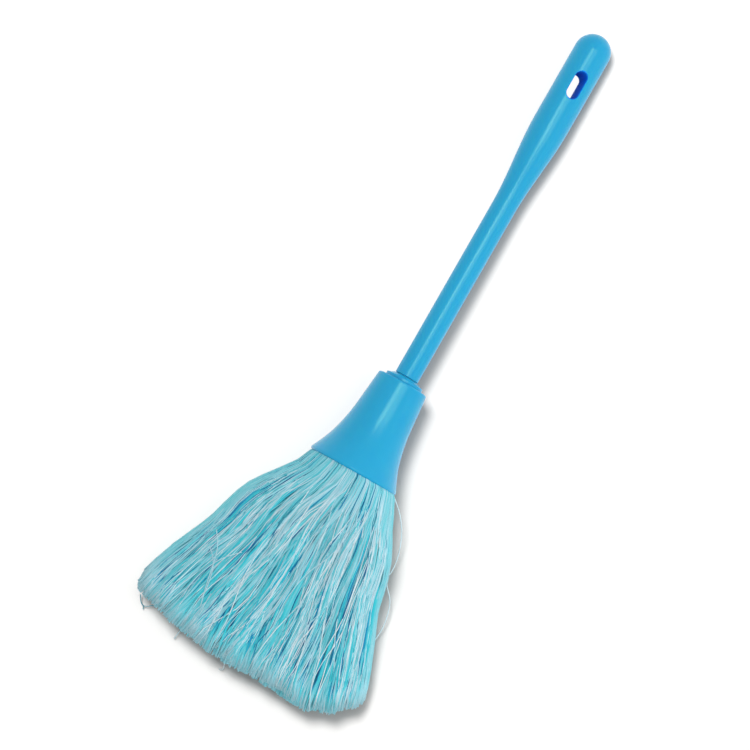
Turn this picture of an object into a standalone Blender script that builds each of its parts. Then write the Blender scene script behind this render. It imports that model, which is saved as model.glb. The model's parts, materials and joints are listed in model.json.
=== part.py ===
"""A microfiber duster lying on a table: a hollow handle screws into a bell that holds a header of yarn.

Each piece is modelled upright in the duster's own frame: +Z runs along the handle towards the grip's
tip, height 0 is the bell's mouth, and -Y is the front. One parent empty then lays the duster down, grip
towards +Y and front up, until the bell's lip, the grip's end and the yarn's underside all touch the table
at Z = 0.
"""

import math
import random

import bmesh
import bpy
from mathutils import Matrix, Vector

MM = 0.001

# Fits shared by the pieces
CLEARANCE = 0.3 * MM
THREAD_CLEARANCE = 0.4 * MM
CUT_OVERRUN = 2.0 * MM
WELD = 0.001 * MM

# Bell socket
BELL_HEIGHT = 80.0 * MM
BELL_TOP_RADIUS = 21.1 * MM
BELL_WAIST_RADIUS = 24.0 * MM
BELL_MOUTH_RADIUS = 37.9 * MM
BELL_FLARE_HEIGHT = 50.0 * MM
BELL_WALL = 2.2 * MM
BELL_TOP_THICKNESS = 3.0 * MM
BELL_SHOULDER = 2.0 * MM
BELL_LIP_ROUND = 1.3 * MM
BELL_BEAD_HEIGHT = 5.0 * MM
BELL_BEAD_STEP = 0.4 * MM

# Collar ring
COLLAR_RADIUS = 15.8 * MM
COLLAR_EDGE_HEIGHT = 2.6 * MM
COLLAR_DOME_HEIGHT = 2.0 * MM
COLLAR_EDGE_ROUND = 0.5 * MM

# Handle
HANDLE_LENGTH = 310.6 * MM
HANDLE_WALL = 2.2 * MM
SHAFT_RADIUS = 9.9 * MM
GRIP_RADIUS = 14.9 * MM
GRIP_LENGTH = 78.5 * MM
TAPER_LENGTH = 80.0 * MM
FOOT_CHAMFER = 0.6 * MM
SLOT_LENGTH = 23.5 * MM
SLOT_WIDTH = 10.0 * MM
SLOT_FROM_TIP = 34.2 * MM
HANDLE_ROLL = math.radians(9.0)

# Threaded spigot in the handle's foot, and the thread that the bush shares with it
THREAD_CORE_RADIUS = 6.8 * MM
THREAD_DEPTH = 1.4 * MM
THREAD_PITCH = 5.0 * MM
THREAD_LENGTH = 20.0 * MM
THREAD_RUN_OUT = 2.0 * MM
THREAD_BELOW_SEAT = 6.0 * MM
SPIGOT_PLUG_LENGTH = 28.0 * MM
SPIGOT_CHAMFER = 1.0 * MM
# Along one pitch, where each turn's outline bends, with how far out it stands there
THREAD_PLACE_SHARES = (0.0, 0.35, 0.5, 0.85)
THREAD_RISE_SHARES = (0.0, 0.0, 1.0, 1.0)

# Threaded bush
BUSH_WALL = 1.8 * MM
BUSH_TAIL = 4.0 * MM

# Yarn hub
HUB_DISC_THICKNESS = 4.0 * MM
HUB_TUBE_WALL = 3.2 * MM
HUB_HEAD_LENGTH = 15.0 * MM
HUB_SEAT_WIDTH = 1.6 * MM
HUB_FLARE = 6.0 * MM

# Hub screws
SCREW_COUNT = 3
SCREW_CIRCLE_RADIUS = 13.1 * MM
SCREW_LENGTH = 12.0 * MM
SCREW_RADIUS = 1.2 * MM
SCREW_HEAD_RADIUS = 2.4 * MM
SCREW_HEAD_HEIGHT = 1.6 * MM
SCREW_POINT = 1.5 * MM
RECESS_WIDTH = 0.6 * MM
RECESS_SPAN = 2.6 * MM
RECESS_DEPTH = 0.9 * MM

# Yarn header, and the ferrule crimped over it and the hub's disc
HEADER_RADIUS = 28.3 * MM
HEADER_THICKNESS = 7.0 * MM
HEADER_ABOVE_MOUTH = 3.0 * MM
FERRULE_WALL = 0.6 * MM
FERRULE_GRIP = 0.5 * MM
SLICE_ARC_STEPS = 3

# Yarn fan: each tuft is a slice of the header with the strands of a few neighbouring columns
TUFT_COUNT = 12
COLUMNS_PER_TUFT = 3
MOST_ROWS = 11
FEWEST_ROWS = 3
STRAND_GAP = 0.4 * MM
ROOT_DEPTH = 0.3 * MM
ROOT_RADIUS = 23.8 * MM
ROOT_SPREAD_SHARE = 0.8
MOUTH_SECTION_DROP = 0.5 * MM
FAN_LENGTH = 186.5 * MM
FAN_HALF_WIDTH = 100.0 * MM
FAN_LEAN = 3.6 * MM
FAN_CORNER_DROP = 28.0 * MM
FAN_CORNER_POWER = 5.0
FAN_ROUNDNESS = 2.6
TIP_SCATTER = 3.0 * MM
# At the fan's bend and at its end: reach along the fan's length, and half width
FAN_REACH_SHARES = (0.3, 1.0)
FAN_WIDTH_SHARES = (0.7, 1.1)
# There too, as shares of the mouth's diameter: the height of the fan's top in the middle and at its sides
FAN_CREST_SHARES = (0.85, 0.56)
FAN_SIDE_TOP_SHARES = (0.42, 0.15)
# There too, how much lower a tuft's outer columns end than its middle, as shares of their height
FURROW_SHARES = (0.1, 0.2)

# Facets round each turned piece
BELL_SIDES = 40
HANDLE_SIDES = 28
THREAD_SIDES = 20
COLLAR_SIDES = 36
SMALL_SIDES = 12
FLARE_STEPS = 8
CONE_STEPS = 3
TAPER_STEPS = 8
ROUND_STEPS = 6
SMOOTH_ANGLE = math.radians(35.0)

# Worked out from the sizes above, all as heights over the bell's mouth or radii
COLLAR_LOW = BELL_HEIGHT + CLEARANCE
COLLAR_HIGH = COLLAR_LOW + COLLAR_EDGE_HEIGHT + COLLAR_DOME_HEIGHT
HANDLE_FOOT = COLLAR_HIGH + CLEARANCE
GRIP_END = HANDLE_FOOT + HANDLE_LENGTH - GRIP_RADIUS
TAPER_TOP = HANDLE_FOOT + HANDLE_LENGTH - GRIP_LENGTH
TAPER_FOOT = TAPER_TOP - TAPER_LENGTH
SLOT_MIDDLE = HANDLE_FOOT + HANDLE_LENGTH - SLOT_FROM_TIP - SLOT_LENGTH / 2
SHAFT_BORE = SHAFT_RADIUS - HANDLE_WALL
PLUG_RADIUS = SHAFT_BORE - CLEARANCE
COLLAR_BORE = THREAD_CORE_RADIUS + CLEARANCE
THREAD_HIGH = BELL_HEIGHT - THREAD_BELOW_SEAT
THREAD_LOW = THREAD_HIGH - THREAD_LENGTH
THREAD_CREST = THREAD_CORE_RADIUS + THREAD_DEPTH
BUSH_CORE = THREAD_CORE_RADIUS + THREAD_CLEARANCE
BUSH_CREST = THREAD_CREST + THREAD_CLEARANCE
BUSH_RADIUS = BUSH_CREST + BUSH_WALL
BUSH_HIGH = BELL_HEIGHT - BELL_TOP_THICKNESS - CLEARANCE
BUSH_LOW = THREAD_LOW - BUSH_TAIL
HUB_BORE = BUSH_RADIUS + CLEARANCE
HUB_SEAT_BORE = HUB_BORE - HUB_SEAT_WIDTH
HUB_HEAD_RADIUS = SCREW_CIRCLE_RADIUS + SCREW_HEAD_RADIUS + CLEARANCE
HUB_LOW = HEADER_ABOVE_MOUTH + HEADER_THICKNESS + CLEARANCE
FERRULE_BORE = HEADER_RADIUS + CLEARANCE
MOUTH_ROOM_RADIUS = BELL_MOUTH_RADIUS - 2 * BELL_LIP_ROUND - CLEARANCE


def lying_tilt():
    """The angle at which the bell's rounded lip and the grip's round end both touch the table."""
    lip = BELL_MOUTH_RADIUS - BELL_LIP_ROUND
    run = GRIP_END - BELL_LIP_ROUND
    drop = GRIP_RADIUS - BELL_LIP_ROUND
    return math.acos(drop / math.hypot(lip, run)) - math.atan2(run, lip)


TILT = lying_tilt()
AXIS_HEIGHT = GRIP_RADIUS + GRIP_END * math.sin(TILT)
GRIP_REACH = GRIP_END * math.cos(TILT) + GRIP_RADIUS
MOUTH_PLACE = Vector((FAN_LEAN, (FAN_LENGTH - GRIP_REACH) / 2, AXIS_HEIGHT))
LAID_DOWN = Matrix.Translation(MOUTH_PLACE) @ Matrix.Rotation(-math.pi / 2 - TILT, 4, "X")


def clear_scene():
    for thing in list(bpy.data.objects):
        bpy.data.objects.remove(thing)


def finish(name, colour, roughness, metallic=0.0):
    """A plain material; the colour is linear red, green and blue."""
    material = bpy.data.materials.new(name)
    material.use_nodes = True
    shader = material.node_tree.nodes["Principled BSDF"]
    shader.inputs["Base Color"].default_value = (*colour, 1.0)
    shader.inputs["Roughness"].default_value = roughness
    shader.inputs["Metallic"].default_value = metallic
    return material


def placed(name, mesh, material, parent, turn=0.0):
    """Makes the bmesh an object of the duster, turned about the duster's axis."""
    data = bpy.data.meshes.new(name)
    mesh.to_mesh(data)
    mesh.free()
    data.shade_smooth()
    data.set_sharp_from_angle(angle=SMOOTH_ANGLE)
    thing = bpy.data.objects.new(name, data)
    if material:
        data.materials.append(material)
    thing.parent = parent
    thing.rotation_euler = (0, 0, turn)
    bpy.context.scene.collection.objects.link(thing)
    return thing


def as_cutter(thing):
    thing.hide_render = True
    thing.display_type = "WIRE"
    return thing


def boolean(thing, other, operation="DIFFERENCE"):
    step = thing.modifiers.new(other.name, "BOOLEAN")
    step.operation = operation
    step.solver = "EXACT"
    step.object = other


def tidied(mesh):
    """Closes a mesh whose neighbouring points meet, and turns its faces outwards."""
    bmesh.ops.remove_doubles(mesh, verts=mesh.verts, dist=WELD)
    bmesh.ops.recalc_face_normals(mesh, faces=mesh.faces)
    return mesh


def turned(outline, sides):
    """A solid of revolution about +Z. The outline's points are (radius, height); its two ends are joined."""
    mesh = bmesh.new()
    points = [mesh.verts.new((radius, 0, height)) for radius, height in outline]
    edges = [mesh.edges.new(pair) for pair in zip(points, points[1:])]
    if outline[0][0] > 0 or outline[-1][0] > 0:
        edges.append(mesh.edges.new((points[-1], points[0])))
    bmesh.ops.spin(mesh, geom=points + edges, axis=(0, 0, 1), angle=math.tau, steps=sides, use_merge=True)
    return tidied(mesh)


def extruded(outline, low, high, to_point):
    """A prism: the outline's points carried from low to high. to_point(a, b, level) gives each corner."""
    mesh = bmesh.new()
    ends = [[mesh.verts.new(to_point(a, b, level)) for a, b in outline] for level in (low, high)]
    for end in ends:
        mesh.faces.new(end)
    for i in range(len(outline)):
        mesh.faces.new((ends[0][i - 1], ends[0][i], ends[1][i], ends[1][i - 1]))
    return tidied(mesh)


def steps_between(low, high, count):
    return [low + (high - low) * i / count for i in range(count + 1)]


def eased(share):
    """A smooth S from 0 to 1, half a cosine wave."""
    return (1 - math.cos(math.pi * min(max(share, 0), 1))) / 2


def arc(centre, radius, start, end, steps):
    """Points (radius, height) round a centre, between two angles in degrees, ends included."""
    angles = steps_between(math.radians(start), math.radians(end), steps)
    return [(centre[0] + radius * math.cos(a), centre[1] + radius * math.sin(a)) for a in angles]


def bell_radius(height):
    """The bell's outer radius: a straight cone, and low down a parabola that flares out to the mouth."""
    slope = (BELL_WAIST_RADIUS - BELL_TOP_RADIUS) / (BELL_HEIGHT - BELL_FLARE_HEIGHT)
    cone = BELL_TOP_RADIUS + slope * (BELL_HEIGHT - height)
    flare = BELL_MOUTH_RADIUS - BELL_TOP_RADIUS - slope * BELL_HEIGHT
    return cone + flare * max(1 - height / BELL_FLARE_HEIGHT, 0) ** 2


def bell_socket(parent, plastic):
    """The flared shell: rounded lip, stepped bead over it, rounded shoulder, and a flat top with a hole."""
    hole = THREAD_CREST + THREAD_CLEARANCE
    lip_middle = (BELL_MOUTH_RADIUS - BELL_LIP_ROUND, BELL_LIP_ROUND)
    flare = steps_between(BELL_BEAD_HEIGHT, BELL_FLARE_HEIGHT, FLARE_STEPS)
    cone = steps_between(BELL_FLARE_HEIGHT, BELL_HEIGHT - BELL_SHOULDER, CONE_STEPS)[1:]
    shoulder_middle = (bell_radius(cone[-1]) - BELL_SHOULDER, BELL_HEIGHT - BELL_SHOULDER)
    inside_top = BELL_HEIGHT - BELL_TOP_THICKNESS
    inside = steps_between(BELL_FLARE_HEIGHT, inside_top, CONE_STEPS)[1:]
    outline = arc(lip_middle, BELL_LIP_ROUND, -180, 0, ROUND_STEPS)
    outline.append((bell_radius(BELL_BEAD_HEIGHT) + BELL_BEAD_STEP, BELL_BEAD_HEIGHT - BELL_BEAD_STEP))
    outline += [(bell_radius(height), height) for height in flare + cone[:-1]]
    outline += arc(shoulder_middle, BELL_SHOULDER, 0, 90, ROUND_STEPS)
    outline += [(hole, BELL_HEIGHT), (hole, inside_top)]
    outline += [(bell_radius(height) - BELL_WALL, height) for height in reversed(flare + inside)]
    return placed("bell_socket", turned(outline, BELL_SIDES), plastic, parent)


def collar_ring(parent, plastic):
    """A stepped disc: a straight edge, then a shallow domed top that rises to the shaft."""
    top = COLLAR_LOW + COLLAR_EDGE_HEIGHT
    edge_middle = (COLLAR_RADIUS - COLLAR_EDGE_ROUND, top - COLLAR_EDGE_ROUND)
    crown = COLLAR_RADIUS - COLLAR_EDGE_ROUND
    outline = [(COLLAR_BORE, COLLAR_LOW), (COLLAR_RADIUS, COLLAR_LOW)]
    outline += arc(edge_middle, COLLAR_EDGE_ROUND, 0, 90, 2)
    for share in steps_between(0, 1, ROUND_STEPS)[1:]:
        outline.append((crown + (SHAFT_RADIUS - crown) * share, top + COLLAR_DOME_HEIGHT * eased(share)))
    outline.append((COLLAR_BORE, COLLAR_HIGH))
    return placed("collar_ring", turned(outline, COLLAR_SIDES), plastic, parent)


def handle_radius(height):
    """The handle's outer radius below its round end: the shaft, a smooth swelling, then the grip."""
    return SHAFT_RADIUS + (GRIP_RADIUS - SHAFT_RADIUS) * eased((height - TAPER_FOOT) / TAPER_LENGTH)


def handle_outline(inset, foot):
    """The handle's half section from its axis at the foot to its axis at the tip, drawn in by inset."""
    outline = [(0, foot)]
    for height in [foot] + steps_between(TAPER_FOOT, TAPER_TOP, TAPER_STEPS):
        outline.append((handle_radius(height) - inset, height))
    outline += arc((0, GRIP_END), GRIP_RADIUS - inset, 0, 90, ROUND_STEPS + 1)[:-1]
    outline.append((0, GRIP_END + GRIP_RADIUS - inset))
    return outline


def slot_outline(spread):
    """The hanging slot's outline with round ends, spread outwards by a wall."""
    radius = SLOT_WIDTH / 2 + spread
    straight = SLOT_LENGTH / 2 - SLOT_WIDTH / 2
    upper = arc((0, SLOT_MIDDLE + straight), radius, 0, 180, ROUND_STEPS)
    lower = arc((0, SLOT_MIDDLE - straight), radius, 180, 360, ROUND_STEPS)
    return upper + lower


def handle(parent, plastic):
    """The hollow handle. Its cavity goes round the slot's own wall on both sides, and opens at the foot."""
    reach = GRIP_RADIUS + CUT_OVERRUN

    def across(x, height, depth):
        return (x, depth, height)

    outline = handle_outline(0, HANDLE_FOOT)
    outline[1:2] = [
        (SHAFT_RADIUS - FOOT_CHAMFER, HANDLE_FOOT),
        (SHAFT_RADIUS, HANDLE_FOOT + FOOT_CHAMFER),
    ]
    body = placed("handle", turned(outline, HANDLE_SIDES), plastic, parent, HANDLE_ROLL)
    hollow = turned(handle_outline(HANDLE_WALL, HANDLE_FOOT - CUT_OVERRUN), HANDLE_SIDES)
    cavity = as_cutter(placed("handle_cavity", hollow, None, parent, HANDLE_ROLL))
    wall = extruded(slot_outline(HANDLE_WALL), -reach, reach, across)
    slot_wall = as_cutter(placed("slot_wall", wall, None, parent, HANDLE_ROLL))
    hole = extruded(slot_outline(0), -reach, reach, across)
    slot = as_cutter(placed("hanging_slot", hole, None, parent, HANDLE_ROLL))
    boolean(cavity, slot_wall)
    boolean(body, cavity)
    boolean(body, slot)
    return body


def thread_points(angle_share, core, filled):
    """One meridian of a right-hand thread, as (radius, height) from THREAD_LOW up to THREAD_HIGH.

    Each outline point climbs by one pitch per turn. Near both ends the ridge fades into the core, or, where
    filled is 1, the groove widens to the crest, so that points held at the ends fall together.
    """
    points = []
    turns = math.ceil(THREAD_LENGTH / THREAD_PITCH)
    for turn in range(-1, turns + 1):
        for place, rise in zip(THREAD_PLACE_SHARES, THREAD_RISE_SHARES):
            height = THREAD_LOW + (turn + place + angle_share) * THREAD_PITCH
            height = min(max(height, THREAD_LOW), THREAD_HIGH)
            near_end = min(height - THREAD_LOW, THREAD_HIGH - height)
            fade = min(near_end / THREAD_RUN_OUT, 1)
            share = rise * fade + filled * (1 - fade)
            points.append((core + THREAD_DEPTH * share, height))
    return points


def threaded(meridian, is_ring):
    """A solid whose meridian(angle_share) gives the same number of points at every angle."""
    mesh = bmesh.new()
    columns = []
    for i in range(THREAD_SIDES + 1):
        angle = math.tau * i / THREAD_SIDES
        around = Vector((math.cos(angle), math.sin(angle), 0))
        points = meridian(i / THREAD_SIDES)
        corners = [around * radius + Vector((0, 0, height)) for radius, height in points]
        columns.append([mesh.verts.new(corner) for corner in corners])
    for left, right in zip(columns, columns[1:]):
        for i in range(0 if is_ring else 1, len(left)):
            mesh.faces.new((left[i - 1], right[i - 1], right[i], left[i]))
    return tidied(mesh)


def threaded_spigot(parent, plastic):
    """The insert in the handle's foot: a thread, a plain neck for the collar ring, and a plug in the shaft."""
    plug_low = HANDLE_FOOT
    plug_high = plug_low + SPIGOT_PLUG_LENGTH

    def meridian(angle_share):
        above = [
            (THREAD_CORE_RADIUS, plug_low),
            (PLUG_RADIUS, plug_low),
            (PLUG_RADIUS, plug_high - SPIGOT_CHAMFER),
            (PLUG_RADIUS - SPIGOT_CHAMFER, plug_high),
            (0, plug_high),
        ]
        return [(0, THREAD_LOW)] + thread_points(angle_share, THREAD_CORE_RADIUS, 0) + above

    return placed("threaded_spigot", threaded(meridian, False), plastic, parent)


def threaded_bush(parent, plastic):
    """The insert in the hub with the matching inside thread, open at both ends."""

    def meridian(angle_share):
        outside = [
            (BUSH_CREST, BUSH_HIGH),
            (BUSH_RADIUS, BUSH_HIGH),
            (BUSH_RADIUS, BUSH_LOW),
            (BUSH_CREST, BUSH_LOW),
        ]
        return thread_points(angle_share, BUSH_CORE, 1) + outside

    return placed("threaded_bush", threaded(meridian, True), plastic, parent)


def screw_places():
    """Each screw's angle about the duster's axis and its place on the bell's top."""
    for i in range(SCREW_COUNT):
        angle = math.tau * i / SCREW_COUNT + math.pi / 2
        yield i + 1, Vector((SCREW_CIRCLE_RADIUS * math.cos(angle), SCREW_CIRCLE_RADIUS * math.sin(angle), 0))


def screw_outline(spread, head_top, length):
    """A countersunk screw's half section, spread outwards for the hole that it goes in."""
    shank_top = BELL_HEIGHT - SCREW_HEAD_HEIGHT
    return [
        (0, BELL_HEIGHT - length),
        (SCREW_RADIUS + spread, BELL_HEIGHT - length + SCREW_POINT),
        (SCREW_RADIUS + spread, shank_top - spread),
        (SCREW_HEAD_RADIUS + spread, BELL_HEIGHT - spread),
        (SCREW_HEAD_RADIUS + spread, head_top),
        (0, head_top),
    ]


def hub_screw(number, place, parent, steel):
    """A countersunk screw with a cross recess, flush with the bell's top."""
    top = BELL_HEIGHT - CLEARANCE / 2
    outline = screw_outline(0, top, SCREW_LENGTH)
    outline[3:4] = []
    thing = placed(f"hub_screw_{number}", turned(outline, SMALL_SIDES), steel, parent)
    thing.location = place
    for turn, way in enumerate(("across", "along")):
        half = (RECESS_WIDTH / 2, RECESS_SPAN / 2)
        x, y = half if turn else reversed(half)
        blade = extruded(
            [(-x, -y), (x, -y), (x, y), (-x, y)],
            top - RECESS_DEPTH,
            top + CUT_OVERRUN,
            lambda a, b, level: (a, b, level),
        )
        cutter = as_cutter(placed(f"recess_{number}_{way}", blade, None, parent))
        cutter.location = place
        boolean(thing, cutter)
    return thing


def screw_hole(number, place, parent):
    """The cutter for a screw's clearance hole in the bell's top and the hub's head."""
    hole = screw_outline(CLEARANCE, BELL_HEIGHT + CUT_OVERRUN, SCREW_LENGTH + CLEARANCE)
    cutter = as_cutter(placed(f"screw_hole_{number}", turned(hole, SMALL_SIDES), None, parent))
    cutter.location = place
    return cutter


def yarn_hub(parent, plastic):
    """The moulding in the bell: a disc that backs the header, a tube, and a head for bush and screws."""
    disc_top = HUB_LOW + HUB_DISC_THICKNESS
    tube = HUB_SEAT_BORE + HUB_TUBE_WALL
    head_low = BUSH_HIGH - HUB_HEAD_LENGTH
    seat = BUSH_LOW - CLEARANCE
    outline = [
        (HUB_SEAT_BORE, HUB_LOW),
        (HEADER_RADIUS, HUB_LOW),
        (HEADER_RADIUS, disc_top),
        (tube + HUB_FLARE, disc_top),
        (tube, disc_top + HUB_FLARE),
        (tube, head_low - HUB_FLARE),
        (HUB_HEAD_RADIUS, head_low),
        (HUB_HEAD_RADIUS, BUSH_HIGH),
        (HUB_BORE, BUSH_HIGH),
        (HUB_BORE, seat),
        (HUB_SEAT_BORE, seat),
    ]
    return placed("yarn_hub", turned(outline, COLLAR_SIDES), plastic, parent)


def ferrule(parent, metal):
    """A thin band crimped inwards over the hub's disc above and under the header's rim below."""
    low = HEADER_ABOVE_MOUTH - CLEARANCE
    high = HUB_LOW + HUB_DISC_THICKNESS + CLEARANCE
    lip = HEADER_RADIUS - FERRULE_GRIP
    outline = [
        (lip, low - FERRULE_WALL),
        (FERRULE_BORE + FERRULE_WALL, low - FERRULE_WALL),
        (FERRULE_BORE + FERRULE_WALL, high + FERRULE_WALL),
        (lip, high + FERRULE_WALL),
        (lip, high),
        (FERRULE_BORE, high),
        (FERRULE_BORE, low),
        (lip, low),
    ]
    return placed("ferrule", turned(outline, COLLAR_SIDES), metal, parent)


def slice_outline(left, right):
    """One slice of the round header between two straight cuts, as (x, y) points."""
    start = math.acos(max(left / HEADER_RADIUS, -1))
    end = math.acos(min(right / HEADER_RADIUS, 1))
    angles = steps_between(start, end, SLICE_ARC_STEPS)
    upper = [(HEADER_RADIUS * math.cos(a), HEADER_RADIUS * math.sin(a)) for a in angles]
    return upper + [(x, -y) for x, y in reversed(upper)]


def round_share(across):
    """How tall the fan's section is at a place across it, from 1 in the middle to 0 at its sides."""
    return (1 - abs(across) ** FAN_ROUNDNESS) ** (1 / FAN_ROUNDNESS)


def round_section(radius, spread, level):
    """A round section of the fan, square to the duster's axis at a height over the bell's mouth."""

    def high(across):
        return radius * math.sqrt(1 - across * across)

    return radius, spread, 0, lambda across: -high(across), high, lambda x, height: Vector((x, -height, level))


def lying_section(reach_share, width_share, crest, side_top, furrow):
    """An upright section of the fan where it lies on the table, with a flat underside and a domed top."""
    mouth_size = 2 * BELL_MOUTH_RADIUS
    to_duster = LAID_DOWN.inverted()

    def high(across):
        return mouth_size * (side_top + (crest - side_top) * round_share(across))

    def place(x, height):
        aside = MOUTH_PLACE.x + x - FAN_LEAN * reach_share
        return to_duster @ Vector((aside, MOUTH_PLACE.y - FAN_LENGTH * reach_share, height))

    return FAN_HALF_WIDTH * width_share, 1, furrow, lambda across: 0, high, place


def fan_sections():
    """The fan's sections: the roots in the header's face, the bell's mouth, the fan's bend, and its end.

    Each is (half width, spread, furrow, low, high, place). low(across) and high(across) are the heights
    between which the strands of that place share the room, spread is how far a tuft's columns spread over
    its own width, furrow is the share of that room which its outer columns leave free at the top, and
    place(x, height) is a point in the duster's frame.
    """
    shares = (FAN_REACH_SHARES, FAN_WIDTH_SHARES, FAN_CREST_SHARES, FAN_SIDE_TOP_SHARES, FURROW_SHARES)
    return [
        round_section(ROOT_RADIUS, ROOT_SPREAD_SHARE, HEADER_ABOVE_MOUTH + ROOT_DEPTH),
        round_section(MOUTH_ROOM_RADIUS, 1, -MOUTH_SECTION_DROP),
    ] + [lying_section(*values) for values in zip(*shares)]


def column_place(tuft, column):
    """Where a tuft's column stands across the fan, from -1 on the left to 1 on the right."""
    return (2 * (tuft * COLUMNS_PER_TUFT + column) + 1) / (TUFT_COUNT * COLUMNS_PER_TUFT) - 1


def strand_rings(sections, tuft, column, row, rows, end_share):
    """A strand's corners in the duster's frame, three to a ring, one ring to a section.

    Its column keeps its place across the fan and its row keeps its place in the column's height, in every
    section, and so no two strands cross. Its flat side faces the table. It ends end_share of the way along
    the last stretch.
    """
    across = column_place(tuft, column)
    tuft_middle = (2 * tuft + 1) / TUFT_COUNT - 1
    off_middle = abs(across - tuft_middle) * TUFT_COUNT * COLUMNS_PER_TUFT / (COLUMNS_PER_TUFT - 1)
    rings = []
    for half_width, spread, furrow, low, high, place in sections:
        room = 2 * half_width * spread / (TUFT_COUNT * COLUMNS_PER_TUFT)
        half = (room - STRAND_GAP) / 2
        middle = half_width * (tuft_middle + spread * (across - tuft_middle))
        step = (high(across) - low(across)) * (1 - furrow * off_middle) / rows
        base = low(across) + row * step
        corners = ((middle - half, base), (middle + half, base), (middle, base + step - STRAND_GAP))
        rings.append([place(x, height) for x, height in corners])
    rings[-1] = [near.lerp(far, end_share) for near, far in zip(rings[-2], rings[-1])]
    return rings


def tuft_strands(tuft, chance):
    """All strands of one tuft in one mesh, as closed solids that don't touch."""
    mesh = bmesh.new()
    sections = fan_sections()
    last_stretch = FAN_LENGTH * (FAN_REACH_SHARES[-1] - FAN_REACH_SHARES[-2])
    for column in range(COLUMNS_PER_TUFT):
        across = column_place(tuft, column)
        rows = max(round(MOST_ROWS * math.sqrt(1 - across * across)), FEWEST_ROWS)
        for row in range(rows):
            short = FAN_CORNER_DROP * abs(across) ** FAN_CORNER_POWER + TIP_SCATTER * chance.random()
            rings = strand_rings(sections, tuft, column, row, rows, 1 - short / last_stretch)
            loops = [[mesh.verts.new(place) for place in ring] for ring in rings]
            for near, far in zip(loops, loops[1:]):
                for i in range(len(near)):
                    mesh.faces.new((near[i - 1], near[i], far[i], far[i - 1]))
            mesh.faces.new(loops[0])
            mesh.faces.new(loops[-1])
    bmesh.ops.recalc_face_normals(mesh, faces=mesh.faces)
    return mesh


def yarn_tuft(number, parent, yarn, chance):
    """A slice of the stitched header, with its strands fused into it."""
    slice_width = 2 * ROOT_RADIUS / TUFT_COUNT
    left = -ROOT_RADIUS + number * slice_width + CLEARANCE / 2
    right = left + slice_width - CLEARANCE
    if number == 0:
        left = -HEADER_RADIUS
    if number == TUFT_COUNT - 1:
        right = HEADER_RADIUS
    top = HEADER_ABOVE_MOUTH + HEADER_THICKNESS
    body = extruded(slice_outline(left, right), HEADER_ABOVE_MOUTH, top, lambda x, y, level: (x, y, level))
    name = f"yarn_tuft_{number + 1:02d}"
    tuft = placed(name, body, yarn, parent)
    strands = tuft_strands(number, chance)
    boolean(tuft, as_cutter(placed(f"{name}_strands", strands, None, parent)), "UNION")
    return tuft


def main():
    clear_scene()
    blue = finish("blue_plastic", (0.045, 0.40, 0.72), 0.35)
    inner = finish("inner_plastic", (0.55, 0.57, 0.58), 0.5)
    steel = finish("plated_steel", (0.55, 0.55, 0.53), 0.35, 1.0)
    tin = finish("tinplate", (0.62, 0.63, 0.64), 0.4, 1.0)
    yarn = finish("microfiber_yarn", (0.26, 0.62, 0.68), 0.95)

    axis = bpy.data.objects.new("duster_axis", None)
    axis.location = MOUTH_PLACE
    axis.rotation_euler = (-math.pi / 2 - TILT, 0, 0)
    bpy.context.scene.collection.objects.link(axis)

    bell = bell_socket(axis, blue)
    hub = yarn_hub(axis, inner)
    for number, place in screw_places():
        hole = screw_hole(number, place, axis)
        boolean(bell, hole)
        boolean(hub, hole)
        hub_screw(number, place, axis, steel)
    threaded_bush(axis, inner)
    ferrule(axis, tin)
    chance = random.Random(7)
    for number in range(TUFT_COUNT):
        yarn_tuft(number, axis, yarn, chance)

    collar_ring(axis, blue)
    handle(axis, blue)
    threaded_spigot(axis, inner)


main()
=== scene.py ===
"""Looks for the microfiber duster: glossy blue mouldings, fine yarn, a white table and soft studio light.

Sizes are in metres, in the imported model's frame. The duster's own frame has +Z along its axis towards
the grip's tip, height 0 at the bell's mouth, and -Y at the front, which faces up where the duster lies.
"""

import json
import math

import bpy
import numpy as np
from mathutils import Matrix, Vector


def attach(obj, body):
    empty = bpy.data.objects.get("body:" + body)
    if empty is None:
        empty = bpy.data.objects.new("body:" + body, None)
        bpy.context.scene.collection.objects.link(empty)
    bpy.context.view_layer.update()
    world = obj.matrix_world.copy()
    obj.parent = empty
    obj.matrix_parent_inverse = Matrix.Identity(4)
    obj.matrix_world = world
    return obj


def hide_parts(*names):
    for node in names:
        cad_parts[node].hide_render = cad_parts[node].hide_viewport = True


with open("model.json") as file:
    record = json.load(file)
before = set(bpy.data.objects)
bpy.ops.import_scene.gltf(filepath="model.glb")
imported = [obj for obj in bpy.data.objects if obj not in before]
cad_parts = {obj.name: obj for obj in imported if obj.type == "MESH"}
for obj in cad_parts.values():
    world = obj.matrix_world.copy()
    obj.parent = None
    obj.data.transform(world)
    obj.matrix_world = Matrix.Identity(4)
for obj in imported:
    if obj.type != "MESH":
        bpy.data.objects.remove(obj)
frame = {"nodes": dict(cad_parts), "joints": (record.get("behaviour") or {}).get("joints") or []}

MM = 0.001
TAU = 2 * math.pi
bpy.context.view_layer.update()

# Where the duster lies: the handle's joint gives the axis's direction and a point on it. GAP is the play
# between pieces that meet
HANDLE_JOINT = next(joint for joint in frame["joints"] if joint["name"] == "handle_unscrew")
AXIS = np.array(HANDLE_JOINT["axis"])
JOINT_HEIGHT = 82.6 * MM
MOUTH = np.array(HANDLE_JOINT["pos_m"]) - JOINT_HEIGHT * AXIS
TILT = math.asin(-AXIS[2])
GAP = 0.3 * MM

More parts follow.
